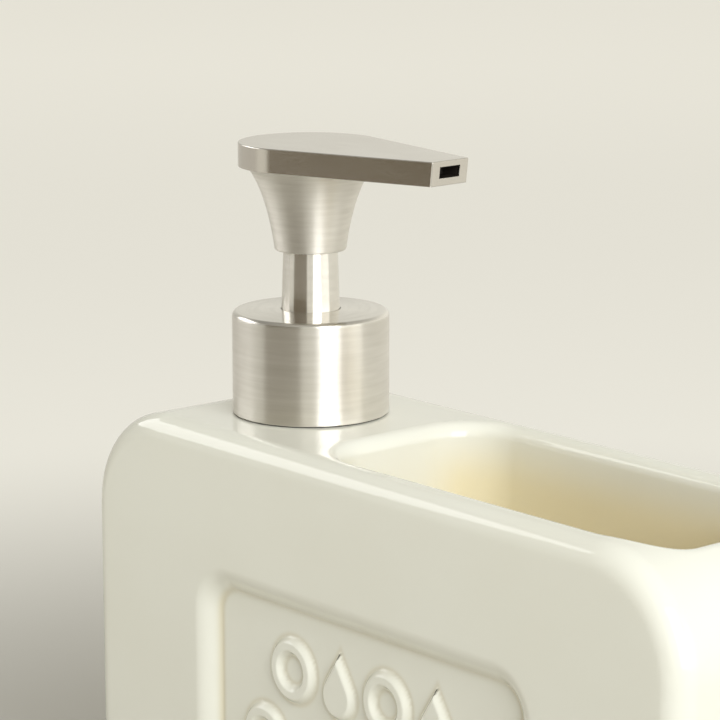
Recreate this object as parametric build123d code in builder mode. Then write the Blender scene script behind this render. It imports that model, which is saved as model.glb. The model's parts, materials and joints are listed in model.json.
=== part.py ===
from build123d import *
import math
import os

# Countertop soap dispenser: a glazed ceramic block with a reservoir and an open
# sponge well, and a lotion pump with a metal collar, stem, skirt and teardrop head.
# Frame: origin on the table under the middle of the block, +X towards the well,
# -Y towards the embossed front, +Z up. All sizes in millimetres.

# ---- ceramic block ----
BODY_LENGTH = 178.0
BODY_DEPTH = 58.8
BODY_TOP = 112.0
PAD_HEIGHT = 1.0
TOP_CORNER = 23.5
FOOT_CORNER = 16.0
EDGE_ROUND = 5.2
WALL = 6.5
CHAMBER_ROUND = 3.0

# ---- open well ----
WELL_LEFT = -19.1
WELL_RIGHT = 74.0
WELL_HALF_WIDTH = 22.2
WELL_DEPTH = 60.0
WELL_CORNER = 9.0
WELL_FLOOR_ROUND = 6.0
RIM_ROUND = 1.9
RIM_DIP = 12.0

# ---- sunken front panel ----
PANEL_LENGTH = 99.4
PANEL_HEIGHT = 50.0
PANEL_MIDDLE_Z = 56.4
PANEL_CORNER = 9.0
PANEL_SINK = 3.0
PANEL_SLOPE = 45.0
PANEL_FLOOR_ROUND = 1.2
PANEL_LIP_ROUND = 1.8
RELIEF = 1.5
RELIEF_ROUND = 0.6
UPPER_ROW_Z = 65.0
LOWER_ROW_Z = 48.5
MOTIF_PITCH = 14.7
MOTIF_RADIUS = 7.0
DROP_RADIUS = 4.9
STROKE = 3.6
WAVE_ARCS = 7
TOUCH = 0.01
MARGIN = 0.1

# ---- soft pads under the block ----
PAD_RADIUS = 5.0
PAD_SPACING_X = 124.0
PAD_SPACING_Y = 32.0
PAD_CHAMFER = 0.25

# ---- pump, heights counted from the collar's lower edge ----
PUMP_X = -47.8
GLAZE = -0.3
COLLAR_BASE = BODY_TOP - GLAZE
COLLAR_RADIUS = 17.0
COLLAR_HEIGHT = 22.15
COLLAR_EDGE_ROUND = 1.1
COLLAR_HOLE = 6.85
SHELL_WALL = 0.6
NECK_HOLE = 12.6
NECK_RADIUS = 12.45
NECK_BORE = 10.6
NECK_FOOT = -8.5
NECK_TOP = 15.5
NECK_FLANGE = 14.4
NECK_FLANGE_TOP = 0.9
THREAD_RADIUS = 13.6
THREAD_PITCH = 4.2
THREAD_START = 3.6
THREAD_LANDS = 3
LAND_STEP = 0.7
THREAD_GAP = 0.3
SEAT_RING_INNER = 14.8
SEAT_RING_OUTER = 16.25
SEAT_RING_TOP = 0.6
NUT_FOOT = 1.2
NUT_TOP_BORE = 10.2
GASKET_THICKNESS = 1.5
GASKET_INNER = 10.8
GASKET_OUTER = 12.6
FLANGE_TOP = 18.2
CYLINDER_RADIUS = 9.0
CYLINDER_BORE = 7.6
CYLINDER_FLOOR = -43.0
RUNNING_GAP = 0.05
SLIDING_GAP = 0.08
SOCKET_RADIUS = 4.4
SOCKET_TOP = -48.0
SOCKET_FOOT = -60.0
BALL_SEAT_FOOT = -47.4
BALL_SEAT_TOP = -46.2
TUBE_RADIUS = 2.9
TUBE_BORE = 2.0
TUBE_TOP = -50.0
TUBE_FOOT = -101.5
PORT_RADIUS = 1.6
VENT_RADIUS = 0.75
VENT_HEIGHT = 1.5
VALVE_GAP = 0.5
GUIDE_FOOT = 3.0
GUIDE_TOP = 19.6
GUIDE_RIM = 9.8
GUIDE_FLOOR = 2.0
WIPER_OUTER = 9.0
WIPER_THICKNESS = 1.3
WIPER_LIP = 0.4
CAGE_TOP = -40.0
CAGE_PORT = 1.5
CAGE_SLOT = 0.7
CAGE_SLOT_CIRCLE = 2.3
BALL_LIFT = 1.7
BALL_RADIUS = 2.4
OUTLET_BALL_RADIUS = 2.0
BALL_SEAT_DROP = 2.54
OUTLET_BALL_RISE = 0.3

# ---- moving stem ----
STEM_RADIUS = 4.2
STEM_BORE = 1.8
STEM_FOOT = -10.0
STEM_FLANGE = 5.6
STEM_PORT = 0.8
SEAL_TOP = 0.0
SEAL_HEIGHT = 6.0
LIP_INNER = 5.4
LIP_GROOVE = 6.0
LIP_OUTER = 6.6
SEAL_GROOVE = 1.6
SEAL_SKIRT = 2.2
SEAL_WAIST = 0.6
SEAL_GAP = 0.06
SPRING_TOP = -10.0
SPRING_RADIUS = 5.6
SPRING_WIRE = 0.45
SPRING_TURNS = 8
RETAINER_RADIUS = 6.5
RETAINER_HUB = 5.2
RETAINER_FLANGE = 1.2
SLEEVE_FOOT_RADIUS = 6.35
SLEEVE_HEAD_RADIUS = 5.9
SLEEVE_FOOT = 19.0
SLEEVE_TOP = 47.0
SLEEVE_BORE = 5.3
SEAT_TOP = 49.2
SEAT_CONE = 1.0

# ---- pump head ----
SKIRT_FOOT = 35.4
SKIRT_FOOT_RADIUS = 7.75
SKIRT_TOP_RADIUS = 13.6
SKIRT_WALL = 1.1
HEAD_UNDER = 53.55
HEAD_TOP = 58.7
HEAD_RADIUS = 15.45
SPOUT_REACH = 41.7
SPOUT_HALF_WIDTH = 5.3
SPOUT_TURN = 3.5
HEAD_WALL = 0.9
HEAD_EDGE_ROUND = 0.5
PLATE_THICKNESS = 0.9
CORE_SOCKET_RADIUS = 7.0
SOCKET_BASE = 40.0
CHANNEL_RADIUS = 1.1
CHAMBER_HEIGHT = 4.2
FIT_GAP = 0.05
LINER_BACK = 36.5
SLOT_WIDTH = 5.8
SLOT_HEIGHT = 2.4
SLOT_MIDDLE = 56.25
LINER_SIDE = 0.6
LINER_LIP = 0.3

os.makedirs("parts", exist_ok=True)


def level(height):
    """Plane across the pump's axis, this far above the collar's lower edge."""
    return Plane((PUMP_X, 0, COLLAR_BASE + height))


# Half-plane for turned parts: x is the radius, y the height above the collar's edge.
turning = Plane(origin=(PUMP_X, 0, COLLAR_BASE), x_dir=(1, 0, 0), z_dir=(0, -1, 0))
pump_axis = Axis((PUMP_X, 0, 0), (0, 0, 1))


def head_level(height):
    """Plane across the pump's axis whose x runs along the spout."""
    turn = math.radians(SPOUT_TURN)
    return Plane(
        origin=(PUMP_X, 0, COLLAR_BASE + height),
        x_dir=(math.cos(turn), math.sin(turn), 0),
        z_dir=(0, 0, 1),
    )


def finish(builder, label):
    """Name a finished piece and write its file."""
    builder.part.label = label
    export_step(builder.part, f"parts/{label}.step")


# ============================ ceramic block ============================

half_depth = BODY_DEPTH / 2

# The reservoir: a tall chamber under the pump that runs on under the well.
with BuildPart() as chamber:
    with BuildSketch(Plane.XZ) as chamber_side:
        with BuildLine():
            left = -BODY_LENGTH / 2 + WALL
            right = BODY_LENGTH / 2 - WALL
            step_x = WELL_LEFT - WALL
            step_z = BODY_TOP - WELL_DEPTH - WALL
            Polyline(
                (left, WALL + PAD_HEIGHT),
                (right, WALL + PAD_HEIGHT),
                (right, step_z),
                (step_x, step_z),
                (step_x, BODY_TOP - WALL),
                (left, BODY_TOP - WALL),
                close=True,
            )
        make_face()
        tall_corner = chamber_side.vertices().sort_by(Axis.Y)[-2:].sort_by(Axis.X)[0]
        fillet(tall_corner, TOP_CORNER - WALL)
        floor_corners = chamber_side.vertices().sort_by(Axis.Y)[:2]
        fillet(floor_corners, FOOT_CORNER - WALL)
    extrude(amount=half_depth - WALL, both=True)
    fillet(chamber.edges().filter_by(Axis.Y), CHAMBER_ROUND)

# The raised wave's centre line: half circles, turned up and down in turn.
wave_radius = MOTIF_RADIUS - STROKE / 2
wave_arcs = []
for index in range(WAVE_ARCS):
    arc_x = (index - (WAVE_ARCS - 1) / 2) * 2 * wave_radius
    start_angle = 180 * (index % 2)
    wave_arcs.append(CenterArc((arc_x, 0), wave_radius, start_angle, 180))

with BuildPart() as ceramic_body:
    with BuildSketch(Plane.XZ) as outline:
        with Locations((0, (BODY_TOP + PAD_HEIGHT) / 2)):
            Rectangle(BODY_LENGTH, BODY_TOP - PAD_HEIGHT)
        fillet(outline.vertices().group_by(Axis.Y)[-1], TOP_CORNER)
        fillet(outline.vertices().group_by(Axis.Y)[0], FOOT_CORNER)
    extrude(amount=half_depth, both=True)
    fillet(ceramic_body.faces().filter_by(Axis.Y).edges(), EDGE_ROUND)
    # open well with a rounded floor and a rolled rim
    with BuildSketch(Plane.XY.offset(BODY_TOP)):
        with Locations(((WELL_LEFT + WELL_RIGHT) / 2, 0)):
            RectangleRounded(WELL_RIGHT - WELL_LEFT, 2 * WELL_HALF_WIDTH, WELL_CORNER)
    extrude(amount=-WELL_DEPTH, mode=Mode.SUBTRACT)
    well_floor = ceramic_body.faces().filter_by(Axis.Z).sort_by(Axis.Z)[1]
    fillet(well_floor.edges(), WELL_FLOOR_ROUND)
    rim = ceramic_body.edges().filter_by(
        lambda edge: edge.bounding_box().min.Z > BODY_TOP - RIM_DIP
        and edge.bounding_box().min.X > WELL_LEFT - MARGIN
        and edge.bounding_box().max.X < WELL_RIGHT + MARGIN
        and abs(edge.center().Y) < WELL_HALF_WIDTH + MARGIN
    )
    fillet(rim, RIM_ROUND)
    # sunken front panel with sloped walls
    front = Plane(origin=(0, -half_depth, PANEL_MIDDLE_Z), x_dir=(1, 0, 0), z_dir=(0, -1, 0))
    with BuildSketch(front):
        RectangleRounded(PANEL_LENGTH, PANEL_HEIGHT, PANEL_CORNER)
    extrude(amount=-PANEL_SINK, taper=PANEL_SLOPE, mode=Mode.SUBTRACT)
    floor_y = -half_depth + PANEL_SINK
    panel_floor = ceramic_body.faces().filter_by(Axis.Y).filter_by_position(
        Axis.Y, floor_y - TOUCH, floor_y + TOUCH
    )
    fillet(panel_floor.edges(), PANEL_FLOOR_ROUND)
    panel_lip = ceramic_body.edges().filter_by(
        lambda edge: abs(edge.bounding_box().min.Y + half_depth) < TOUCH
        and abs(edge.bounding_box().max.Y + half_depth) < TOUCH
        and abs(edge.center().X) < PANEL_LENGTH / 2 + MARGIN
        and abs(edge.center().Z - PANEL_MIDDLE_Z) < PANEL_HEIGHT / 2 + MARGIN
    )
    fillet(panel_lip, PANEL_LIP_ROUND)
    # raised bubbles, drops and a wave on the panel's floor
    upper_row = Plane(origin=(0, floor_y, UPPER_ROW_Z), x_dir=(1, 0, 0), z_dir=(0, -1, 0))
    with BuildSketch(upper_row):
        for bubble_x in (-1.5 * MOTIF_PITCH, 0.5 * MOTIF_PITCH):
            with Locations((bubble_x, 0)):
                Circle(MOTIF_RADIUS)
                Circle(MOTIF_RADIUS - STROKE, mode=Mode.SUBTRACT)
        for drop_x in (-0.5 * MOTIF_PITCH, 1.5 * MOTIF_PITCH):
            tip_reach = 2 * MOTIF_RADIUS - DROP_RADIUS
            lean = math.acos(DROP_RADIUS / tip_reach)
            side_x = DROP_RADIUS * math.sin(lean)
            side_y = DROP_RADIUS * math.cos(lean) + DROP_RADIUS - MOTIF_RADIUS
            with BuildLine():
                Line((drop_x + side_x, side_y), (drop_x, MOTIF_RADIUS))
                Line((drop_x, MOTIF_RADIUS), (drop_x - side_x, side_y))
                ThreePointArc(
                    (drop_x - side_x, side_y),
                    (drop_x, -MOTIF_RADIUS),
                    (drop_x + side_x, side_y),
                )
            make_face()
    extrude(amount=RELIEF)
    lower_row = Plane(origin=(0, floor_y, LOWER_ROW_Z), x_dir=(1, 0, 0), z_dir=(0, -1, 0))
    with BuildSketch(lower_row):
        for arc in wave_arcs:
            SlotArc(arc, STROKE)
    extrude(amount=RELIEF)
    relief_top = ceramic_body.faces().filter_by(Axis.Y).filter_by_position(
        Axis.Y, floor_y - RELIEF - TOUCH, floor_y - RELIEF + TOUCH
    )
    fillet(relief_top.edges(), RELIEF_ROUND)
    add(chamber.part, mode=Mode.SUBTRACT)
    # hole for the threaded neck
    with Locations(level(GLAZE)):
        Hole(NECK_HOLE, depth=2 * WALL)
finish(ceramic_body, "ceramic_body")

with BuildPart() as foot_pads:
    with BuildSketch():
        with GridLocations(PAD_SPACING_X, PAD_SPACING_Y, 2, 2):
            Circle(PAD_RADIUS)
    extrude(amount=PAD_HEIGHT)
    chamfer(foot_pads.edges().group_by(Axis.Z)[0], PAD_CHAMFER)
finish(foot_pads, "foot_pads")

# ============================ neck ============================


def profile(points):
    """Closed outline of a turned piece, from (radius, height) pairs."""
    with BuildSketch(turning) as section:
        with BuildLine():
            Polyline(*points, close=True)
        make_face()
    return section.sketch


with BuildPart() as neck_insert:
    revolve(
        profile(
            [
                (NECK_BORE, NECK_FOOT),
                (NECK_RADIUS, NECK_FOOT),
                (NECK_RADIUS, GLAZE),
                (NECK_FLANGE, GLAZE),
                (NECK_FLANGE, NECK_FLANGE_TOP),
                (NECK_RADIUS, NECK_FLANGE_TOP),
                (NECK_RADIUS, NECK_TOP),
                (NECK_BORE, NECK_TOP),
            ]
        ),
        axis=pump_axis,
    )
    # thread lands, drawn as rings
    for land in range(THREAD_LANDS):
        land_z = THREAD_START + land * THREAD_PITCH
        revolve(
            profile(
                [
                    (NECK_RADIUS - MARGIN, land_z),
                    (THREAD_RADIUS, land_z + LAND_STEP),
                    (THREAD_RADIUS, land_z + 2 * LAND_STEP),
                    (NECK_RADIUS - MARGIN, land_z + 3 * LAND_STEP),
                ]
            ),
            axis=pump_axis,
        )
finish(neck_insert, "neck_insert")

with BuildPart() as seat_ring:
    revolve(
        profile(
            [
                (SEAT_RING_INNER, GLAZE),
                (SEAT_RING_OUTER, GLAZE),
                (SEAT_RING_OUTER, SEAT_RING_TOP),
                (SEAT_RING_INNER, SEAT_RING_TOP),
            ]
        ),
        axis=pump_axis,
    )
finish(seat_ring, "seat_ring")

with BuildPart() as neck_gasket:
    gasket_top = NECK_TOP + GASKET_THICKNESS
    revolve(
        profile(
            [
                (GASKET_INNER, NECK_TOP),
                (GASKET_OUTER, NECK_TOP),
                (GASKET_OUTER, gasket_top),
                (GASKET_INNER, gasket_top),
            ]
        ),
        axis=pump_axis,
    )
finish(neck_gasket, "neck_gasket")

# ============================ collar ============================

with BuildPart() as collar_shell:
    with BuildSketch(level(0)):
        Circle(COLLAR_RADIUS)
    extrude(amount=COLLAR_HEIGHT)
    fillet(collar_shell.edges().group_by(Axis.Z)[-1], COLLAR_EDGE_ROUND)
    with BuildSketch(level(0)):
        Circle(COLLAR_RADIUS - SHELL_WALL)
    extrude(amount=COLLAR_HEIGHT - SHELL_WALL, mode=Mode.SUBTRACT)
    with BuildSketch(level(0)):
        Circle(COLLAR_HOLE)
    extrude(amount=COLLAR_HEIGHT, mode=Mode.SUBTRACT)
finish(collar_shell, "collar_shell")

with BuildPart() as closure_nut:
    nut_radius = COLLAR_RADIUS - SHELL_WALL - 2 * RUNNING_GAP
    nut_top = COLLAR_HEIGHT - SHELL_WALL
    revolve(
        profile(
            [
                (THREAD_RADIUS + THREAD_GAP, NUT_FOOT),
                (nut_radius, NUT_FOOT),
                (nut_radius, nut_top - 1),
                (nut_radius - 1, nut_top),
                (NUT_TOP_BORE, nut_top),
                (NUT_TOP_BORE, FLANGE_TOP + RUNNING_GAP),
                (THREAD_RADIUS + THREAD_GAP, FLANGE_TOP + RUNNING_GAP),
            ]
        ),
        axis=pump_axis,
    )
finish(closure_nut, "closure_nut")

# ============================ pump cylinder ============================

with BuildPart() as pump_housing:
    flange_foot = NECK_TOP + GASKET_THICKNESS
    revolve(
        profile(
            [
                (CYLINDER_BORE, FLANGE_TOP),
                (GASKET_OUTER, FLANGE_TOP),
                (GASKET_OUTER, flange_foot),
                (CYLINDER_RADIUS, flange_foot),
                (CYLINDER_RADIUS, CYLINDER_FLOOR),
                (SOCKET_RADIUS, SOCKET_TOP),
                (SOCKET_RADIUS, SOCKET_FOOT),
                (TUBE_RADIUS + RUNNING_GAP, SOCKET_FOOT),
                (TUBE_RADIUS + RUNNING_GAP, TUBE_TOP),
                (PORT_RADIUS, TUBE_TOP),
                (PORT_RADIUS, BALL_SEAT_FOOT),
                (BALL_RADIUS + VALVE_GAP, BALL_SEAT_TOP),
                (BALL_RADIUS + VALVE_GAP, CYLINDER_FLOOR),
                (CYLINDER_BORE, CYLINDER_FLOOR),
            ]
        ),
        axis=pump_axis,
    )
    # vent holes that let air back into the reservoir
    with Locations(Plane(origin=(PUMP_X, 0, COLLAR_BASE + VENT_HEIGHT), z_dir=(0, 1, 0))):
        Hole(VENT_RADIUS)
finish(pump_housing, "pump_housing")

with BuildPart() as stem_guide:
    guide_bore = SLEEVE_FOOT_RADIUS + THREAD_GAP
    revolve(
        profile(
            [
                (STEM_RADIUS + SLIDING_GAP, GUIDE_FOOT),
                (CYLINDER_BORE - RUNNING_GAP, GUIDE_FOOT),
                (CYLINDER_BORE - RUNNING_GAP, FLANGE_TOP),
                (GUIDE_RIM, FLANGE_TOP),
                (GUIDE_RIM, GUIDE_TOP),
                (guide_bore, GUIDE_TOP),
                (guide_bore, GUIDE_FOOT + GUIDE_FLOOR),
                (STEM_RADIUS + SLIDING_GAP, GUIDE_FOOT + GUIDE_FLOOR),
            ]
        ),
        axis=pump_axis,
    )
finish(stem_guide, "stem_guide")

with BuildPart() as stem_wiper:
    revolve(
        profile(
            [
                (SLEEVE_FOOT_RADIUS + SLIDING_GAP, GUIDE_TOP + WIPER_THICKNESS - WIPER_LIP),
                (SLEEVE_FOOT_RADIUS + 2 * WIPER_LIP, GUIDE_TOP),
                (WIPER_OUTER, GUIDE_TOP),
                (WIPER_OUTER, GUIDE_TOP + WIPER_THICKNESS),
                (SLEEVE_FOOT_RADIUS + SLIDING_GAP, GUIDE_TOP + WIPER_THICKNESS),
            ]
        ),
        axis=pump_axis,
    )
finish(stem_wiper, "stem_wiper")

with BuildPart() as ball_cage:
    stop_under = CYLINDER_FLOOR + BALL_LIFT
    revolve(
        profile(
            [
                (BALL_RADIUS + VALVE_GAP, CYLINDER_FLOOR),
                (CYLINDER_BORE - RUNNING_GAP, CYLINDER_FLOOR),
                (CYLINDER_BORE - RUNNING_GAP, CAGE_TOP),
                (CAGE_PORT, CAGE_TOP),
                (CAGE_PORT, stop_under),
                (BALL_RADIUS + VALVE_GAP, stop_under),
            ]
        ),
        axis=pump_axis,
    )
    with Locations(level(CAGE_TOP)):
        with PolarLocations(CAGE_SLOT_CIRCLE, 4):
            Hole(CAGE_SLOT, depth=CAGE_TOP - stop_under)
finish(ball_cage, "ball_cage")

with BuildPart() as inlet_ball:
    with Locations((PUMP_X, 0, COLLAR_BASE + CYLINDER_FLOOR - BALL_SEAT_DROP)):
        Sphere(BALL_RADIUS)
finish(inlet_ball, "inlet_ball")

with BuildPart() as dip_tube:
    with BuildSketch(level(TUBE_TOP)):
        Circle(TUBE_RADIUS)
        Circle(TUBE_BORE, mode=Mode.SUBTRACT)
    extrude(amount=TUBE_FOOT - TUBE_TOP)
    slant = Plane(
        origin=(PUMP_X, 0, COLLAR_BASE + TUBE_FOOT + TUBE_RADIUS),
        z_dir=(1, 0, 1),
    )
    split(bisect_by=slant, keep=Keep.TOP)
finish(dip_tube, "dip_tube")

# ============================ moving stem ============================

with BuildPart() as piston_stem:
    revolve(
        profile(
            [
                (STEM_BORE, STEM_FOOT),
                (STEM_RADIUS, STEM_FOOT),
                (STEM_RADIUS, SEAL_TOP + 2 * RUNNING_GAP),
                (STEM_FLANGE, SEAL_TOP + 2 * RUNNING_GAP),
                (STEM_FLANGE, SEAL_TOP + SEAL_GROOVE),
                (STEM_RADIUS, SEAL_TOP + SEAL_GROOVE),
                (STEM_RADIUS, SLEEVE_FOOT + 1),
                (SLEEVE_BORE - RUNNING_GAP, SLEEVE_FOOT + 1),
                (SLEEVE_BORE - RUNNING_GAP, SLEEVE_TOP),
                (STEM_BORE, SLEEVE_TOP),
            ]
        ),
        axis=pump_axis,
    )
    # side ports between the cylinder and the hollow stem
    with Locations(Plane(origin=(PUMP_X, 0, COLLAR_BASE + STEM_FOOT + VENT_HEIGHT), z_dir=(0, 1, 0))):
        Hole(STEM_PORT)
finish(piston_stem, "piston_stem")

with BuildPart() as stem_sleeve:
    revolve(
        profile(
            [
                (SLEEVE_BORE, SLEEVE_FOOT),
                (SLEEVE_FOOT_RADIUS, SLEEVE_FOOT),
                (SLEEVE_FOOT_RADIUS, COLLAR_HEIGHT),
                (SLEEVE_HEAD_RADIUS, SKIRT_FOOT),
                (SLEEVE_HEAD_RADIUS, SLEEVE_TOP),
                (SLEEVE_BORE, SLEEVE_TOP),
            ]
        ),
        axis=pump_axis,
    )
finish(stem_sleeve, "stem_sleeve")

with BuildPart() as piston_seal:
    seal_radius = CYLINDER_BORE - SLIDING_GAP
    seal_foot = SEAL_TOP - SEAL_HEIGHT
    revolve(
        profile(
            [
                (STEM_RADIUS + SEAL_GAP, seal_foot),
                (LIP_INNER, seal_foot),
                (LIP_GROOVE, seal_foot + SEAL_SKIRT),
                (LIP_OUTER, seal_foot),
                (seal_radius, seal_foot),
                (seal_radius - SEAL_WAIST, SEAL_TOP - SEAL_HEIGHT / 2),
                (seal_radius, SEAL_TOP),
                (LIP_OUTER, SEAL_TOP),
                (LIP_GROOVE, SEAL_TOP - SEAL_GROOVE),
                (LIP_INNER, SEAL_TOP),
                (STEM_RADIUS + SEAL_GAP, SEAL_TOP),
            ]
        ),
        axis=pump_axis,
    )
finish(piston_seal, "piston_seal")

with BuildPart() as spring_retainer:
    retainer_top = SEAL_TOP - SEAL_HEIGHT
    revolve(
        profile(
            [
                (STEM_RADIUS + SEAL_GAP, SPRING_TOP),
                (RETAINER_RADIUS, SPRING_TOP),
                (RETAINER_RADIUS, SPRING_TOP + RETAINER_FLANGE),
                (RETAINER_HUB, SPRING_TOP + RETAINER_FLANGE),
                (RETAINER_HUB, retainer_top),
                (STEM_RADIUS + SEAL_GAP, retainer_top),
            ]
        ),
        axis=pump_axis,
    )
finish(spring_retainer, "spring_retainer")

with BuildPart() as return_spring:
    coil_foot = CAGE_TOP + SPRING_WIRE
    coil_height = SPRING_TOP - CAGE_TOP - 2 * SPRING_WIRE
    with BuildLine(level(coil_foot)):
        coil = Helix(coil_height / SPRING_TURNS, coil_height, SPRING_RADIUS)
    with BuildSketch(Plane(origin=coil @ 0, z_dir=coil % 0)):
        Circle(SPRING_WIRE)
    sweep(is_frenet=True)
finish(return_spring, "return_spring")

with BuildPart() as outlet_seat:
    revolve(
        profile(
            [
                (PORT_RADIUS, SLEEVE_TOP),
                (SLEEVE_BORE - RUNNING_GAP, SLEEVE_TOP),
                (SLEEVE_BORE - RUNNING_GAP, SEAT_TOP),
                (PORT_RADIUS + SEAT_CONE, SEAT_TOP),
                (PORT_RADIUS, SEAT_TOP - SEAT_CONE),
            ]
        ),
        axis=pump_axis,
    )
finish(outlet_seat, "outlet_seat")

with BuildPart() as outlet_ball:
    with Locations((PUMP_X, 0, COLLAR_BASE + SEAT_TOP + OUTLET_BALL_RISE)):
        Sphere(OUTLET_BALL_RADIUS)
finish(outlet_ball, "outlet_ball")

# ============================ head ============================

with BuildPart() as skirt_bell:
    with BuildSketch(turning):
        with BuildLine():
            outside = Bezier(
                (SKIRT_FOOT_RADIUS, SKIRT_FOOT + 0.4),
                (SKIRT_FOOT_RADIUS + 0.75, SKIRT_FOOT + 6.0),
                (SKIRT_TOP_RADIUS - 3.4, HEAD_UNDER - 4.5),
                (SKIRT_TOP_RADIUS, HEAD_UNDER),
            )
            Line(outside @ 1, (SKIRT_TOP_RADIUS - SKIRT_WALL, HEAD_UNDER))
            inside = Bezier(
                (SKIRT_TOP_RADIUS - SKIRT_WALL, HEAD_UNDER),
                (SKIRT_TOP_RADIUS - 4.3, HEAD_UNDER - 4.2),
                (SKIRT_FOOT_RADIUS - 0.05, SKIRT_FOOT + 6.0),
                (SKIRT_FOOT_RADIUS - 0.8, SKIRT_FOOT + 0.2),
            )
            Polyline(
                inside @ 1,
                (SKIRT_FOOT_RADIUS - 0.6, SKIRT_FOOT),
                (SKIRT_FOOT_RADIUS - 0.3, SKIRT_FOOT),
                outside @ 0,
            )
        make_face()
    revolve(axis=pump_axis)
finish(skirt_bell, "skirt_bell")


def teardrop(inset):
    """Head outline: a disc with straight sides that run to a flat tip."""
    disc = HEAD_RADIUS - inset
    reach = SPOUT_REACH - inset
    half_width = SPOUT_HALF_WIDTH - inset
    side_angle = math.atan2(half_width, reach) + math.acos(disc / math.hypot(reach, half_width))
    side_x = disc * math.cos(side_angle)
    side_y = disc * math.sin(side_angle)
    with BuildSketch() as outline_face:
        with BuildLine():
            Polyline(
                (side_x, -side_y),
                (reach, -half_width),
                (reach, half_width),
                (side_x, side_y),
            )
            ThreePointArc((side_x, side_y), (-disc, 0), (side_x, -side_y))
        make_face()
    return outline_face.sketch


with BuildPart() as head_shell:
    with BuildSketch(head_level(HEAD_UNDER)):
        add(teardrop(0))
    extrude(amount=HEAD_TOP - HEAD_UNDER)
    fillet(head_shell.edges().group_by(Axis.Z)[-1], HEAD_EDGE_ROUND)
    with BuildSketch(head_level(HEAD_UNDER)):
        add(teardrop(HEAD_WALL))
    extrude(amount=HEAD_TOP - HEAD_UNDER - HEAD_WALL, mode=Mode.SUBTRACT)
    spout_end = Plane(
        origin=head_level(SLOT_MIDDLE).from_local_coords((SPOUT_REACH + 1, 0, 0)),
        x_dir=head_level(0).y_dir,
        z_dir=head_level(0).x_dir,
    )
    with BuildSketch(spout_end):
        Rectangle(SLOT_WIDTH, SLOT_HEIGHT)
    extrude(amount=-3, mode=Mode.SUBTRACT)
finish(head_shell, "head_shell")

with BuildPart() as head_plate:
    with BuildSketch(head_level(HEAD_UNDER)):
        add(teardrop(HEAD_WALL + FIT_GAP))
        Circle(CORE_SOCKET_RADIUS + FIT_GAP, mode=Mode.SUBTRACT)
    extrude(amount=PLATE_THICKNESS)
finish(head_plate, "head_plate")

with BuildPart() as head_core:
    core_foot = HEAD_UNDER + PLATE_THICKNESS
    with BuildSketch(head_level(core_foot)):
        add(teardrop(HEAD_WALL + FIT_GAP))
        with Locations((LINER_BACK + 10, 0)):
            Rectangle(20, 2 * HEAD_RADIUS, mode=Mode.SUBTRACT)
    extrude(amount=HEAD_TOP - HEAD_WALL - core_foot)
    with BuildSketch(head_level(SOCKET_BASE)):
        Circle(CORE_SOCKET_RADIUS)
    extrude(amount=core_foot - SOCKET_BASE)
    # stepped bore: sleeve socket, seat, ball chamber and riser
    with BuildSketch(head_level(SOCKET_BASE)):
        Circle(SLEEVE_HEAD_RADIUS + FIT_GAP)
    extrude(amount=SLEEVE_TOP - SOCKET_BASE, mode=Mode.SUBTRACT)
    with BuildSketch(head_level(SLEEVE_TOP)):
        Circle(SLEEVE_BORE)
    extrude(amount=SEAT_TOP - SLEEVE_TOP, mode=Mode.SUBTRACT)
    with BuildSketch(head_level(SEAT_TOP)):
        Circle(OUTLET_BALL_RADIUS + 0.8)
    extrude(amount=CHAMBER_HEIGHT, mode=Mode.SUBTRACT)
    with BuildSketch(head_level(SEAT_TOP + CHAMBER_HEIGHT)):
        Circle(CHANNEL_RADIUS)
    extrude(amount=SLOT_MIDDLE - SEAT_TOP - CHAMBER_HEIGHT, mode=Mode.SUBTRACT)
    channel_start = Plane(
        origin=head_level(SLOT_MIDDLE).from_local_coords((0, 0, 0)),
        x_dir=head_level(0).y_dir,
        z_dir=head_level(0).x_dir,
    )
    with BuildSketch(channel_start):
        Circle(CHANNEL_RADIUS)
    extrude(amount=LINER_BACK, mode=Mode.SUBTRACT)
finish(head_core, "head_core")

with BuildPart() as nozzle_liner:
    liner_end = SPOUT_REACH - HEAD_WALL - FIT_GAP
    liner_back = Plane(
        origin=head_level(SLOT_MIDDLE).from_local_coords((LINER_BACK, 0, 0)),
        x_dir=head_level(0).y_dir,
        z_dir=head_level(0).x_dir,
    )
    with BuildSketch(liner_back):
        Rectangle(SLOT_WIDTH + 2 * LINER_SIDE, SLOT_HEIGHT + 2 * LINER_LIP)
    extrude(amount=liner_end - LINER_BACK)
    with BuildSketch(liner_back):
        Rectangle(SLOT_WIDTH, SLOT_HEIGHT)
    extrude(amount=liner_end - LINER_BACK, mode=Mode.SUBTRACT)
finish(nozzle_liner, "nozzle_liner")
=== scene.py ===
import json
import math

import bmesh
import bpy
import numpy as np
from mathutils import Matrix, Vector


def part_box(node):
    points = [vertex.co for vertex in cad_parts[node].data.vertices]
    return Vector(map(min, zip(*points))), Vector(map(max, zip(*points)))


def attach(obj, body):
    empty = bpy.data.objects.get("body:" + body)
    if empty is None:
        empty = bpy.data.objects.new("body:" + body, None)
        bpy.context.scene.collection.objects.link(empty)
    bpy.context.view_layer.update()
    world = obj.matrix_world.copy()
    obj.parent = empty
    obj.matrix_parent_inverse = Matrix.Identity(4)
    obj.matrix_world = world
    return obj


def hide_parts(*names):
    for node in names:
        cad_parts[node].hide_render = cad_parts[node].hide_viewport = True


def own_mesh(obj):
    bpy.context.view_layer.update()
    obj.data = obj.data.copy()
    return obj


# Countertop soap dispenser: a glazed block with a lotion pump at one end and an open well beside it.
# Metres throughout, in the CAD's frame: +X towards the well, -Y the embossed front, +Z up.

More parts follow.
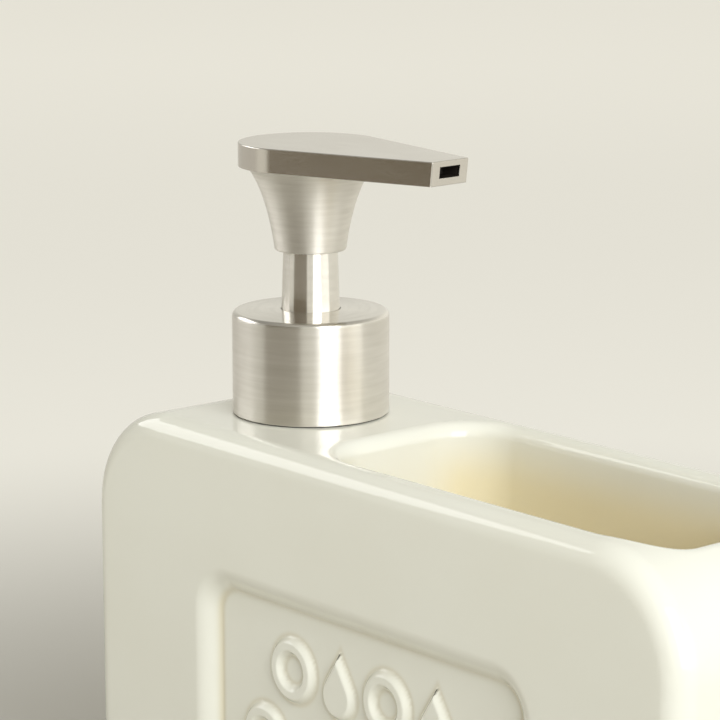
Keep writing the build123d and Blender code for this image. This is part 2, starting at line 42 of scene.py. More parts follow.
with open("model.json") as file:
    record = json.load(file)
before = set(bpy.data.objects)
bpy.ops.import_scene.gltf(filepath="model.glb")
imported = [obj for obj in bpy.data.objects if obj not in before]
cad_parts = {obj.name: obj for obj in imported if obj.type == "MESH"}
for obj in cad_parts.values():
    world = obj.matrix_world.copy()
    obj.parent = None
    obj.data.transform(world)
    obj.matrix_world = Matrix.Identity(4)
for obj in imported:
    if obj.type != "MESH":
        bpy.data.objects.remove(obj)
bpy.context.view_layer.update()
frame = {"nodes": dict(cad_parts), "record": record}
MM = 0.001

# ---- places read from the frame ----
body_low, body_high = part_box("ceramic_body")
collar_low, collar_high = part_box("collar_shell")
sleeve_low, sleeve_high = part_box("stem_sleeve")
bell_low, bell_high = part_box("skirt_bell")
head_low, head_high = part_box("head_shell")
PUMP_X = (collar_low.x + collar_high.x) / 2
PUMP_Y = (collar_low.y + collar_high.y) / 2
COLLAR_FOOT = collar_low.z
COLLAR_TOP = collar_high.z
BODY_TOP = body_high.z
BODY_FOOT = body_low.z
FRONT_Y = body_low.y

# ---- ceramic block ----
TOP_CORNER = 23.5 * MM
FOOT_CORNER = 16 * MM
EDGE_ROUND = 5.2 * MM
WALL = 6.5 * MM
WELL_LEFT = -19.1 * MM
WELL_RIGHT = 74 * MM
WELL_HALF_WIDTH = 22.2 * MM
WELL_DEPTH = 60 * MM
WELL_CORNER = 12 * MM
WELL_FLOOR_ROUND = 6 * MM
RIM_ROUND = 3.2 * MM
NECK_HOLE = 12.6 * MM

# ---- front panel and its raised bubbles, drops and wave ----
PANEL_HALF_LENGTH = 49.7 * MM
PANEL_HALF_HEIGHT = 25 * MM
PANEL_MIDDLE_Z = 56.4 * MM
PANEL_CORNER = 9 * MM
PANEL_SINK = 3.4 * MM
PANEL_WALL = 3.4 * MM
LIP_SOFTNESS = 2.2 * MM
FLOOR_SOFTNESS = 0.25 * MM
RELIEF = 1.5 * MM
RELIEF_SLOPE = 1.7 * MM
RELIEF_SPREAD = 0.5 * MM
# glaze pooled in the panel's creases, with painted shade there too
WALL_POOL_AND_SHADE = 0.75 * MM
RIGHT_WALL_SHADE_REACH = 2.2  # painted shade: the band is this much wider up the walls of the panel's right half, which are in shade
LEVEL_POOL_AND_SHADE = 0.25  # and this strong along its level walls
MOTIF_POOL_AND_SHADE = 0.55 * MM
MOTIF_SHARE = 0.40
UPPER_ROW_Z = 65 * MM
LOWER_ROW_Z = 48.5 * MM
MOTIF_PITCH = 14.7 * MM
MOTIF_RADIUS = 7 * MM
DROP_RADIUS = 4.9 * MM
HALF_STROKE = 1.8 * MM
WAVE_ARCS = 7

# ---- the block's mesh ----
SKIN_CELL = 0.95 * MM
FINE_MARGIN = 3 * MM
FINE_DEPTH = 5 * MM
FINE_TOP = 7 * MM
NEARLY_FLAT = 0.985

# ---- metal parts ----
SHELL_WALL = 0.6 * MM
COLLAR_DOME = 0.4 * MM
HOLE_GAP = 0.12 * MM
HEAD_WALL = 0.9 * MM
SPOUT_REACH = 41.7 * MM
SPOUT_HALF_WIDTH = 5.3 * MM
SPOUT_TURN = math.radians(3.5)
TIP_LEAN = 0.62 * MM
HEAD_RADIUS = 15.45 * MM
SLOT_HALF_WIDTH = 2.9 * MM
SLOT_HALF_HEIGHT = 1.2 * MM
SLOT_MIDDLE = 56.25 * MM
LATHE_STEPS = 240


# ============================ small helpers ============================


def add_object(name, mesh, material, slot, body, *nodes):
    """Put a finished mesh in the scene, on its body, standing for the CAD nodes named."""
    piece = bpy.data.objects.new(name, mesh)
    bpy.context.scene.collection.objects.link(piece)
    mesh.materials.clear()
    mesh.materials.append(material)
    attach(piece, body)
    if nodes:
        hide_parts(*nodes)
    return piece


class Nodes:
    """A material's node tree, with short calls for adding and joining nodes."""

    def __init__(self, name):
        self.material = bpy.data.materials.new(name)
        self.material.use_nodes = True
        self.tree = self.material.node_tree
        self.shader = self.tree.nodes["Principled BSDF"]
        self.coordinates = self.tree.nodes.new("ShaderNodeTexCoord").outputs["Object"]

    def add(self, kind, **settings):
        node = self.tree.nodes.new(kind)
        for key, value in settings.items():
            setattr(node, key, value)
        return node

    def join(self, source, target):
        self.tree.links.new(source, target)

    def set(self, **values):
        for key, value in values.items():
            self.shader.inputs[key.replace("_", " ")].default_value = value

    def noise(self, scale, vector=None, detail=3.0, roughness=0.5):
        node = self.add("ShaderNodeTexNoise")
        node.inputs["Scale"].default_value = scale
        node.inputs["Detail"].default_value = detail
        node.inputs["Roughness"].default_value = roughness
        self.join(vector or self.coordinates, node.inputs["Vector"])
        return node.outputs["Fac"]

    def ramp(self, factor, stops):
        """Colour ramp from (place, colour) pairs."""
        node = self.add("ShaderNodeValToRGB")
        elements = node.color_ramp.elements
        while len(elements) < len(stops):
            elements.new(0.5)
        for element, (place, colour) in zip(elements, stops):
            element.position = place
            element.color = (*colour, 1.0)
        self.join(factor, node.inputs["Fac"])
        return node.outputs["Color"]

    def spread(self, factor, low, high):
        """A 0 to 1 factor, mapped to low to high."""
        node = self.add("ShaderNodeMapRange")
        node.inputs["From Min"].default_value = 0.25
        node.inputs["From Max"].default_value = 0.75
        node.inputs["To Min"].default_value = low
        node.inputs["To Max"].default_value = high
        self.join(factor, node.inputs["Value"])
        return node.outputs["Result"]

    def smooth(self, value, start, end, low=0.0, high=1.0):
        """Smooth change from low to high as the value goes from start to end."""
        node = self.add("ShaderNodeMapRange", interpolation_type="SMOOTHSTEP")
        node.inputs["From Min"].default_value = start
        node.inputs["From Max"].default_value = end
        node.inputs["To Min"].default_value = low
        node.inputs["To Max"].default_value = high
        self.join(value, node.inputs["Value"])
        return node.outputs["Result"]

    def mix(self, kind, factor, first, second):
        """Mix of two sockets or values: first at factor 0, second at factor 1."""
        node = self.add("ShaderNodeMix", data_type=kind)
        self.join(factor, node.inputs["Factor"])
        for key, source in (("A", first), ("B", second)):
            if isinstance(source, bpy.types.NodeSocket):
                self.join(source, node.inputs[key])
            else:
                node.inputs[key].default_value = source
        return node.outputs["Result"]

    def separate(self, vector):
        node = self.add("ShaderNodeSeparateXYZ")
        self.join(vector, node.inputs[0])
        return node.outputs

    def bump(self, height, distance, under=None):
        node = self.add("ShaderNodeBump")
        node.inputs["Distance"].default_value = distance
        self.join(height, node.inputs["Height"])
        if under is not None:
            self.join(under, node.inputs["Normal"])
        return node.outputs["Normal"]

    def vector_math(self, operation, first, second=None):
        node = self.add("ShaderNodeVectorMath", operation=operation)
        self.join(first, node.inputs[0])
        if isinstance(second, (tuple, Vector)):
            node.inputs[1].default_value = second
        elif second is not None:
            self.join(second, node.inputs[1])
        return node

    def math(self, operation, first, second):
        node = self.add("ShaderNodeMath", operation=operation)
        self.join(first, node.inputs[0])
        if isinstance(second, (int, float)):
            node.inputs[1].default_value = second
        else:
            self.join(second, node.inputs[1])
        return node.outputs[0]

    def round_axis(self, centre, along, across):
        """Coordinates for marks that run round a vertical axis: slow round it, quick along and out."""
        local = self.vector_math("SUBTRACT", self.coordinates, (centre[0], centre[1], 0.0))
        flat = self.vector_math("MULTIPLY", local.outputs[0], (1.0, 1.0, 0.0))
        direction = self.vector_math("NORMALIZE", flat.outputs[0])
        reach = self.vector_math("LENGTH", flat.outputs[0]).outputs["Value"]
        height = self.math("ADD", reach, self.separate(local.outputs[0])["Z"])
        quick = self.math("MULTIPLY", height, across)
        slow = self.add("ShaderNodeVectorMath", operation="SCALE")
        slow.inputs["Scale"].default_value = along
        self.join(direction.outputs[0], slow.inputs[0])
        parts = self.separate(slow.outputs[0])
        joined = self.add("ShaderNodeCombineXYZ")
        self.join(parts["X"], joined.inputs["X"])
        self.join(parts["Y"], joined.inputs["Y"])
        self.join(quick, joined.inputs["Z"])
        return joined.outputs[0]

    def along_line(self, turn, along, across):
        """Coordinates for marks that run along a level direction, turned by this angle about Z."""
        mapping = self.add("ShaderNodeMapping")
        mapping.inputs["Rotation"].default_value = (0.0, 0.0, -turn)
        self.join(self.coordinates, mapping.inputs["Vector"])
        stretched = self.vector_math("MULTIPLY", mapping.outputs[0], (along, across, across))
        return stretched.outputs[0]


# ============================ materials ============================

# depths under the block's top, and distances from the well's end, at which painted shade comes into the
# glaze in the well
RIM_TONE_START = 1 * MM
RIM_TONE_END = 14 * MM
END_TONE_START = 4 * MM
END_TONE_END = 20 * MM
END_TONE = 0.15
DEEP_TONE_START = 12 * MM
DEEP_TONE_END = 36 * MM
# how strongly pooled glaze and painted shade darken the panel
POOL_AND_SHADE_STRENGTH = 0.85
BISQUE_ROUGHNESS = 0.75
POLISHED_EDGE = 0.9 * MM


def glaze_material():
    """Cream glaze with a bare, matt foot; painted shade makes it darker and yellower deep in the well, and
    glaze pooled in the panel is darkened further by painted shade.
    """
    n = Nodes("cream_glaze")
    cloud = n.noise(28.0, detail=2.0)
    outside = n.ramp(cloud, [(0.3, (0.838, 0.820, 0.715)), (0.7, (0.856, 0.842, 0.745))])
    # painted shade: the darker, yellower tone of the well's shaded inside
    inside = n.ramp(cloud, [(0.3, (0.825, 0.730, 0.485)), (0.7, (0.845, 0.755, 0.520))])
    place = n.separate(n.coordinates)
    # painted shade in the well: a darker, yellower tone that comes in below the rim, and later at the end
    # beside the pump, its edge standing in for a shadow edge
    across = n.math("ABSOLUTE", place["Y"], 0.0)
    within = n.math("LESS_THAN", across, WELL_HALF_WIDTH + 1 * MM)
    right = n.math("GREATER_THAN", place["X"], WELL_LEFT - 1 * MM)
    left = n.math("LESS_THAN", place["X"], WELL_RIGHT + 1 * MM)
    in_well = n.math("MULTIPLY", n.math("MULTIPLY", within, right), left)
    below_rim = n.smooth(place["Z"], BODY_TOP - RIM_TONE_START, BODY_TOP - RIM_TONE_END)
    diagonal = n.math("ADD", place["X"], place["Y"])
    from_end = n.smooth(diagonal, WELL_LEFT + END_TONE_START, WELL_LEFT + END_TONE_END, END_TONE)
    deep = n.smooth(place["Z"], BODY_TOP - DEEP_TONE_START, BODY_TOP - DEEP_TONE_END)
    well_shade = n.math("MULTIPLY", n.math("MULTIPLY", below_rim, in_well), n.math("MAXIMUM", from_end, deep))
    tone = n.mix("RGBA", well_shade, outside, inside)
    # glaze pooled in the panel, darkened further as painted shade in its creases and on its right-hand walls
    gathered = n.add("ShaderNodeAttribute", attribute_type="GEOMETRY", attribute_name="pool_and_shade")
    pool_and_shade = n.math("MULTIPLY", gathered.outputs["Fac"], POOL_AND_SHADE_STRENGTH)
    tone = n.mix("RGBA", pool_and_shade, tone, (0.640, 0.555, 0.350, 1.0))
    # the bare foot
    foot = n.smooth(place["Z"], BODY_FOOT + 0.9 * MM, BODY_FOOT + 0.5 * MM)
    grain = n.noise(900.0, detail=4.0)
    bisque = n.ramp(grain, [(0.35, (0.70, 0.64, 0.53)), (0.65, (0.78, 0.73, 0.62))])
    n.join(n.mix("RGBA", foot, tone, bisque), n.shader.inputs["Base Color"])
    gloss = n.spread(n.noise(60.0, detail=3.0), 0.035, 0.065)
    n.join(n.mix("FLOAT", foot, gloss, BISQUE_ROUGHNESS), n.shader.inputs["Roughness"])
    slow = n.bump(n.noise(45.0, detail=1.0), 0.08 * MM)
    fine = n.bump(n.noise(420.0, detail=2.0), 0.006 * MM, under=slow)
    n.join(fine, n.shader.inputs["Normal"])
    n.set(IOR=1.50)
    return n.material


def turned_metal(name, light, dark, low_roughness, high_roughness, anisotropy, scratch, bright_from=None):
    """Nickel brushed round the pump's axis, and polished above the height bright_from."""
    n = Nodes(name)
    marks = n.round_axis((PUMP_X, PUMP_Y), 2.2, 5200.0)
    broad = n.round_axis((PUMP_X, PUMP_Y), 1.1, 900.0)
    lines = n.noise(1.0, marks, detail=5.0, roughness=0.62)
    bands = n.noise(1.0, broad, detail=2.0)
    n.join(n.ramp(bands, [(0.3, dark), (0.7, light)]), n.shader.inputs["Base Color"])
    finish = n.spread(lines, low_roughness, high_roughness)
    if bright_from is not None:
        top = n.smooth(n.separate(n.coordinates)["Z"], bright_from - POLISHED_EDGE, bright_from)
        finish = n.mix("FLOAT", top, finish, n.spread(lines, 0.13, 0.19))
    n.join(finish, n.shader.inputs["Roughness"])
    n.join(n.bump(lines, scratch), n.shader.inputs["Normal"])
    tangent = n.add("ShaderNodeTangent", direction_type="RADIAL", axis="Z")
    n.join(tangent.outputs[0], n.shader.inputs["Tangent"])
    n.set(Metallic=1.0, Anisotropic=anisotropy, Anisotropic_Rotation=0.25)
    return n.material


def straight_metal(name, light, dark, low_roughness, high_roughness, scratch):
    """Nickel finished along the spout."""
    n = Nodes(name)
    lines = n.noise(1.0, n.along_line(SPOUT_TURN, 90.0, 4200.0), detail=5.0, roughness=0.6)
    tone = n.noise(70.0, detail=2.0)
    n.join(n.ramp(tone, [(0.3, dark), (0.7, light)]), n.shader.inputs["Base Color"])
    n.join(n.spread(lines, low_roughness, high_roughness), n.shader.inputs["Roughness"])
    n.join(n.bump(lines, scratch), n.shader.inputs["Normal"])
    n.set(Metallic=1.0)
    return n.material


def moulded(name, light, dark, roughness, grain, scale, **values):
    """Moulded plastic or rubber: soft tone changes and a fine grain."""
    n = Nodes(name)
    n.join(n.ramp(n.noise(120.0), [(0.3, dark), (0.7, light)]), n.shader.inputs["Base Color"])
    n.join(n.spread(n.noise(300.0), roughness - 0.06, roughness + 0.06), n.shader.inputs["Roughness"])
    n.join(n.bump(n.noise(scale, detail=4.0), grain), n.shader.inputs["Normal"])
    n.set(**values)
    return n.material


def plain_steel(name, tone, roughness):
    """Bright steel with fine polishing marks."""
    n = Nodes(name)
    shade = tuple(0.86 * part for part in tone)
    n.join(n.ramp(n.noise(500.0), [(0.3, shade), (0.7, tone)]), n.shader.inputs["Base Color"])
    n.join(n.spread(n.noise(2500.0), roughness, roughness + 0.12), n.shader.inputs["Roughness"])
    n.join(n.bump(n.noise(4000.0, detail=4.0), 0.004 * MM), n.shader.inputs["Normal"])
    n.set(Metallic=1.0)
    return n.material


glaze = glaze_material()
collar_metal = turned_metal(
    "brushed_collar",
    (0.770, 0.742, 0.690),
    (0.700, 0.672, 0.616),
    0.30,
    0.38,
    0.93,
    0.006 * MM,
    bright_from=COLLAR_TOP,
)
bell_metal = turned_metal(
    "brushed_bell", (0.870, 0.840, 0.780), (0.800, 0.768, 0.705), 0.47, 0.59, 0.88, 0.007 * MM
)
sleeve_metal = turned_metal(
    "polished_stem", (0.810, 0.785, 0.735), (0.750, 0.722, 0.670), 0.22, 0.27, 0.92, 0.0012 * MM
)
head_metal = straight_metal(
    "head_nickel", (0.700, 0.670, 0.620), (0.650, 0.615, 0.565), 0.16, 0.26, 0.003 * MM
)
node_materials = {
    "white_plastic": moulded(
        "white_plastic", (0.80, 0.80, 0.78), (0.74, 0.74, 0.71), 0.38, 0.010 * MM, 1800.0, IOR=1.49
    ),
    "dark_rubber": moulded(
        "dark_rubber", (0.050, 0.047, 0.043), (0.032, 0.030, 0.028), 0.58, 0.020 * MM, 2400.0
    ),
    "soft_pad": moulded(
        "soft_pad", (0.52, 0.51, 0.48), (0.43, 0.42, 0.39), 0.55, 0.020 * MM, 1500.0
    ),
    "dark_plastic": moulded(
        "dark_plastic", (0.030, 0.023, 0.017), (0.018, 0.014, 0.011), 0.42, 0.010 * MM, 1800.0
    ),
    "clear_tube": moulded(
        "clear_tube", (0.90, 0.92, 0.92), (0.84, 0.87, 0.88), 0.22, 0.006 * MM, 900.0,
        Transmission_Weight=0.75, IOR=1.5
    ),
    "ball_steel": plain_steel("ball_steel", (0.78, 0.77, 0.75), 0.08),
    "spring_steel": plain_steel("spring_steel", (0.66, 0.65, 0.63), 0.16),
    "brushed_nickel": collar_metal,
}


# ============================ ceramic block ============================


def rounded_rectangle(u, v, half_u, half_v, radius):
    """Distance to a rectangle with round corners, below zero inside."""
    out_u = np.abs(u) - half_u + radius
    out_v = np.abs(v) - half_v + radius
    outside = np.hypot(np.maximum(out_u, 0), np.maximum(out_v, 0))
    return np.minimum(np.maximum(out_u, out_v), 0) + outside - radius


def meet(first, second, radius):
    """What is inside both shapes, with their shared edge rounded to this radius."""
    u, v = first + radius, second + radius
    outside = np.hypot(np.maximum(u, 0), np.maximum(v, 0))
    return np.minimum(np.maximum(u, v), 0) + outside - radius


def soft_highest(first, second, softness):
    """The higher of two heights, eased where they cross."""
    near = np.maximum(softness - np.abs(first - second), 0)
    return np.maximum(first, second) + near * near / (4 * softness)


def ring_distance(x, z):
    return np.abs(np.hypot(x, z) - MOTIF_RADIUS + HALF_STROKE) - HALF_STROKE


def drop_distance(x, z):
    """A drop: a disc and its two tangents, which meet at a point above."""
    height = z + MOTIF_RADIUS - DROP_RADIUS
    normal_z = DROP_RADIUS / (2 * MOTIF_RADIUS - DROP_RADIUS)
    normal_x = math.sqrt(1 - normal_z**2)
    side = np.abs(x)
    tangent = side * normal_x + height * normal_z - DROP_RADIUS
    disc = np.hypot(side, height) - DROP_RADIUS
    return np.where(height * normal_x > side * normal_z, tangent, disc)


def wave_distance(x, z):
    """A wave of half circles, turned up and down in turn."""
    radius = MOTIF_RADIUS - HALF_STROKE
    nearest = np.full_like(x, 1.0)
    for index in range(WAVE_ARCS):
        arc_x = x - (index - (WAVE_ARCS - 1) / 2) * 2 * radius
        arc_z = z if index % 2 == 0 else -z
        on_arc = np.abs(np.hypot(arc_x, arc_z) - radius)
        on_end = np.hypot(np.abs(arc_x) - radius, arc_z)
        nearest = np.minimum(nearest, np.where(arc_z > 0, on_arc, on_end))
    return nearest - HALF_STROKE


def motif_distance(x, z):
    """Distance to the nearest bubble, drop or wave."""
    upper_z = z - UPPER_ROW_Z
    nearest = wave_distance(x, z - LOWER_ROW_Z)
    for place, motif in (
        (-1.5, ring_distance),
        (-0.5, drop_distance),
        (0.5, ring_distance),
        (1.5, drop_distance),
    ):
        nearest = np.minimum(nearest, motif(x - place * MOTIF_PITCH, upper_z))
    return nearest


def relief_height(x, z):
    """How far the motifs stand up from the panel's floor."""
    rise = np.clip((RELIEF_SPREAD - motif_distance(x, z)) / RELIEF_SLOPE, 0, 1)
    return RELIEF * rise * rise * (3 - 2 * rise)


def panel_distance(x, z):
    return rounded_rectangle(x, z - PANEL_MIDDLE_Z, PANEL_HALF_LENGTH, PANEL_HALF_HEIGHT, PANEL_CORNER)


def pooled_glaze_and_shade(points):
    """Where glaze gathers, and painted shade: 1 along the foot of the panel's walls and round the motifs,
    reaching wider up the walls of the right half as painted shade.
    """
    x, y, z = points.T
    panel = panel_distance(x, z)
    from_foot = panel + PANEL_WALL
    # painted shade: the band reaches wider up the walls of the panel's right half
    reach = np.where((from_foot > 0) & (x > 0), RIGHT_WALL_SHADE_REACH * WALL_POOL_AND_SHADE, WALL_POOL_AND_SHADE)
    upright = np.clip((np.abs(x) - PANEL_HALF_LENGTH + PANEL_CORNER) / PANEL_CORNER, 0, 1)
    wall_foot = np.exp(-((from_foot / reach) ** 2)) * (LEVEL_POOL_AND_SHADE + (1 - LEVEL_POOL_AND_SHADE) * upright)
    motif_foot = np.exp(-(((motif_distance(x, z) - RELIEF_SPREAD) / MOTIF_POOL_AND_SHADE) ** 2))
    inside = (panel < -PANEL_WALL / 3) & (y < FRONT_Y + PANEL_SINK + 1 * MM)
    return np.where(inside, np.maximum(wall_foot, MOTIF_SHARE * motif_foot), 0.0)


def block_distance(points):
    """Distance to the glazed block's surface, below zero inside the clay."""
    x, y, z = points.T
    half_length = (body_high.x - body_low.x) / 2
    half_height = (BODY_TOP - BODY_FOOT) / 2
    middle_z = (BODY_TOP + BODY_FOOT) / 2
    corner = np.where(z > middle_z, TOP_CORNER, FOOT_CORNER)
    side = rounded_rectangle(x, z - middle_z, half_length, half_height, corner)
    block = meet(side, np.abs(y) + FRONT_Y, EDGE_ROUND)
    # the open well
    well_middle = (WELL_LEFT + WELL_RIGHT) / 2
    well_half = (WELL_RIGHT - WELL_LEFT) / 2
    plan = rounded_rectangle(x - well_middle, y, well_half, WELL_HALF_WIDTH, WELL_CORNER)
    well = meet(plan, BODY_TOP - WELL_DEPTH - z, WELL_FLOOR_ROUND)
    block = meet(block, -well, RIM_ROUND)
    # the sunken panel and its relief
    fall = -panel_distance(x, z) * PANEL_SINK / PANEL_WALL
    sink = soft_highest(fall, 0.0, LIP_SOFTNESS)
    sink = -soft_highest(-sink, -PANEL_SINK, FLOOR_SOFTNESS)
    block = np.maximum(block, FRONT_Y + sink - relief_height(x, z) - y)
    # the reservoir, tall under the pump and low under the well
    left = body_low.x + WALL
    step_x = WELL_LEFT - WALL
    low_z = BODY_FOOT + WALL
    step_z = BODY_TOP - WELL_DEPTH - WALL
    tall_z = BODY_TOP - WALL
    tall_middle = (left + step_x) / 2
    tall_corner = np.where((x < tall_middle) & (z > middle_z), TOP_CORNER - WALL, 3 * MM)
    tall = rounded_rectangle(
        x - tall_middle, z - (low_z + tall_z) / 2, (step_x - left) / 2, (tall_z - low_z) / 2, tall_corner
    )
    low = rounded_rectangle(x, z - (low_z + step_z) / 2, -left, (step_z - low_z) / 2, 6 * MM)
    chamber = meet(np.minimum(tall, low), np.abs(y) + FRONT_Y + WALL, 3 * MM)
    # the neck's hole
    bore = np.hypot(x - PUMP_X, y - PUMP_Y) - NECK_HOLE
    hole = np.maximum(bore, tall_z - 3 * MM - z)
    block = meet(block, -hole, 0.5 * MM)
    return np.maximum(block, -chamber)


def block_slope(points):
    """Gradient of block_distance, by small steps along each axis."""
    step = 0.02 * MM
    slope = np.empty_like(points)
    for axis in range(3):
        shift = np.zeros(3)
        shift[axis] = step
        slope[:, axis] = (block_distance(points + shift) - block_distance(points - shift)) / (2 * step)
    return slope


def settle(points, rounds):
    """Move points onto the block's surface along its slope."""
    for _ in range(rounds):
        slope = block_slope(points)
        size = np.maximum((slope * slope).sum(1), 0.2)
        move = -block_distance(points)[:, None] * slope / size[:, None]
        points = points + np.clip(move, -1 * MM, 1 * MM)
    return points


def mesh_points(mesh):
    flat = np.empty(len(mesh.vertices) * 3)
    mesh.vertices.foreach_get("co", flat)
    return flat.reshape(-1, 3)


def glazed_block():
    """The ceramic body: an even skin over the CAD solid, settled onto the softly rounded shape."""
    rough_mesh = frame["nodes"]["ceramic_body"].data.copy()
    rough = bpy.data.objects.new("rough_block", rough_mesh)
    bpy.context.scene.collection.objects.link(rough)
    skin = rough.modifiers.new("skin", "REMESH")
    skin.mode = "VOXEL"
    skin.voxel_size = SKIN_CELL
    graph = bpy.context.evaluated_depsgraph_get()
    mesh = bpy.data.meshes.new_from_object(rough.evaluated_get(graph))
    bpy.data.objects.remove(rough)
    # a finer skin over the panel and the rounded top edges
    work = bmesh.new()
    work.from_mesh(mesh)
    near = []
    for face in work.faces:
        middle = face.calc_center_median()
        by_panel = (
            middle.y < FRONT_Y + FINE_DEPTH
            and abs(middle.x) < PANEL_HALF_LENGTH + FINE_MARGIN
            and abs(middle.z - PANEL_MIDDLE_Z) < PANEL_HALF_HEIGHT + FINE_MARGIN
        )
        tilted = max(abs(part) for part in face.normal) < NEARLY_FLAT
        by_edge = middle.z > BODY_TOP - FINE_TOP and tilted
        if by_panel or by_edge:
            near.append(face)
    edges = list({edge for face in near for edge in face.edges})
    bmesh.ops.subdivide_edges(work, edges=edges, cuts=1, use_grid_fill=True)
    work.to_mesh(mesh)
    work.free()
    mesh.name = "glazed_block"
    points = settle(mesh_points(mesh), 6)
    mesh.vertices.foreach_set("co", points.astype(np.float32).ravel())
    mesh.shade_smooth()
    slope = block_slope(points)
    slope /= np.linalg.norm(slope, axis=1)[:, None]
    mesh.normals_split_custom_set_from_vertices(slope)
    # where glaze pooled and shade is painted, read by the glaze material
    pool_and_shade = mesh.attributes.new("pool_and_shade", "FLOAT", "POINT")
    pool_and_shade.data.foreach_set("value", pooled_glaze_and_shade(points).astype(np.float32))
    mesh.update()
    return mesh


add_object("ceramic_block", glazed_block(), glaze, "glaze", "reservoir", "ceramic_body")


# ============================ turned metal ============================


def eased(corners, steps=5):
    """A closed profile from (radius, height, rounding) corners, each turned into an arc."""
    points = []
    count = len(corners)
    for index, (radius, height, rounding) in enumerate(corners):
        here = Vector((radius, height))
        before = Vector(corners[index - 1][:2]) - here
        after = Vector(corners[(index + 1) % count][:2]) - here
        if rounding == 0:
            points.append(here)
            continue
        half = before.angle(after) / 2
        reach = rounding / math.tan(half)
        middle = here + (before.normalized() + after.normalized()).normalized() * (rounding / math.sin(half))
        start = here + before.normalized() * reach - middle
        sweep = start.angle_signed(here + after.normalized() * reach - middle)
        for step in range(steps + 1):
            turned = start.copy()
            turned.rotate(Matrix.Rotation(-sweep * step / steps, 2))
            points.append(middle + turned)
    return points


def lathe(name, outline):
    """Turn a closed outline of (radius, height) about the pump's axis."""
    mesh = bpy.data.meshes.new(name)
    count = len(outline)
    verts = []
    for step in range(LATHE_STEPS):
        angle = 2 * math.pi * step / LATHE_STEPS
        for point in outline:
            verts.append(
                (PUMP_X + point[0] * math.cos(angle), PUMP_Y + point[0] * math.sin(angle), point[1])
            )
    faces = []
    for step in range(LATHE_STEPS):
        here, there = step * count, (step + 1) % LATHE_STEPS * count
        for index in range(count):
            onward = (index + 1) % count
            faces.append((here + index, there + index, there + onward, here + onward))
    mesh.from_pydata(verts, [], faces)
    work = bmesh.new()
    work.from_mesh(mesh)
    bmesh.ops.recalc_face_normals(work, faces=work.faces)
    work.to_mesh(mesh)
    work.free()
    mesh.shade_smooth()
    mesh.set_sharp_from_angle(angle=math.radians(50))
    return mesh


def even_shading(piece):
    """Keep flat faces flat beside their small rounded edges."""
    shading = piece.modifiers.new("even_shading", "WEIGHTED_NORMAL")
    shading.keep_sharp = True
    shading.weight = 100
    return piece


def curve(start, first_pull, second_pull, end, steps):
    """Points along a Bezier curve."""
    points = []
    for index in range(steps + 1):
        t = index / steps
        u = 1 - t
        point = (
            Vector(start) * u**3
            + Vector(first_pull) * 3 * u * u * t
            + Vector(second_pull) * 3 * u * t * t
            + Vector(end) * t**3
        )
        points.append(point)
    return points


sleeve_radius = (sleeve_high.x - sleeve_low.x) / 2
collar_hole = sleeve_radius + HOLE_GAP
collar_radius = (collar_high.x - collar_low.x) / 2
collar_bore = collar_radius - SHELL_WALL
collar_profile = eased(
    [
        (collar_bore, COLLAR_FOOT, 0.12 * MM),
        (collar_radius, COLLAR_FOOT, 0.22 * MM),
        (collar_radius, COLLAR_TOP, 1.1 * MM),
        (collar_hole, COLLAR_TOP + COLLAR_DOME, 0.12 * MM),
        (collar_hole, COLLAR_TOP - SHELL_WALL, 0.1 * MM),
        (collar_bore, COLLAR_TOP - SHELL_WALL, 0.5 * MM),
    ],
    steps=7,
)
collar_mesh = lathe("collar", collar_profile)
even_shading(
    add_object("collar", collar_mesh, collar_metal, "brushed_nickel", "collar", "collar_shell")
)

SLEEVE_BORE = 5.3 * MM
SLEEVE_HEAD_RADIUS = 5.9 * MM
sleeve_profile = eased(
    [
        (SLEEVE_BORE, sleeve_low.z, 0.1 * MM),
        (sleeve_radius, sleeve_low.z, 0.15 * MM),
        (sleeve_radius, COLLAR_TOP, 1.5 * MM),
        (SLEEVE_HEAD_RADIUS, bell_low.z, 1.5 * MM),
        (SLEEVE_HEAD_RADIUS, sleeve_high.z, 0.1 * MM),
        (SLEEVE_BORE, sleeve_high.z, 0.1 * MM),
    ]
)
even_shading(
    add_object("stem", lathe("stem", sleeve_profile), sleeve_metal, "polished_nickel", "head", "stem_sleeve")
)

BELL_FOOT_RADIUS = 7.75 * MM
BELL_WALL = 1.1 * MM
bell_radius = (bell_high.x - bell_low.x) / 2
bell_foot = bell_low.z
bell_top = bell_high.z
bell_outside = curve(
    (BELL_FOOT_RADIUS, bell_foot + 0.4 * MM),
    (BELL_FOOT_RADIUS + 0.75 * MM, bell_foot + 6 * MM),
    (bell_radius - 3.4 * MM, bell_top - 4.5 * MM),
    (bell_radius, bell_top),
    40,
)
bell_inside = curve(
    (bell_radius - BELL_WALL, bell_top),
    (bell_radius - 4.3 * MM, bell_top - 4.2 * MM),
    (BELL_FOOT_RADIUS - 0.05 * MM, bell_foot + 6 * MM),
    (BELL_FOOT_RADIUS - 0.8 * MM, bell_foot + 0.2 * MM),
    24,
)
bell_lip = [
    Vector((BELL_FOOT_RADIUS - 0.68 * MM, bell_foot + 0.06 * MM)),
    Vector((BELL_FOOT_RADIUS - 0.5 * MM, bell_foot)),
    Vector((BELL_FOOT_RADIUS - 0.25 * MM, bell_foot + 0.03 * MM)),
    Vector((BELL_FOOT_RADIUS - 0.08 * MM, bell_foot + 0.16 * MM)),
]
bell_mesh = lathe("bell", bell_outside + bell_inside + bell_lip)
add_object("bell", bell_mesh, bell_metal, "brushed_nickel", "head", "skirt_bell")


# ============================ head ============================


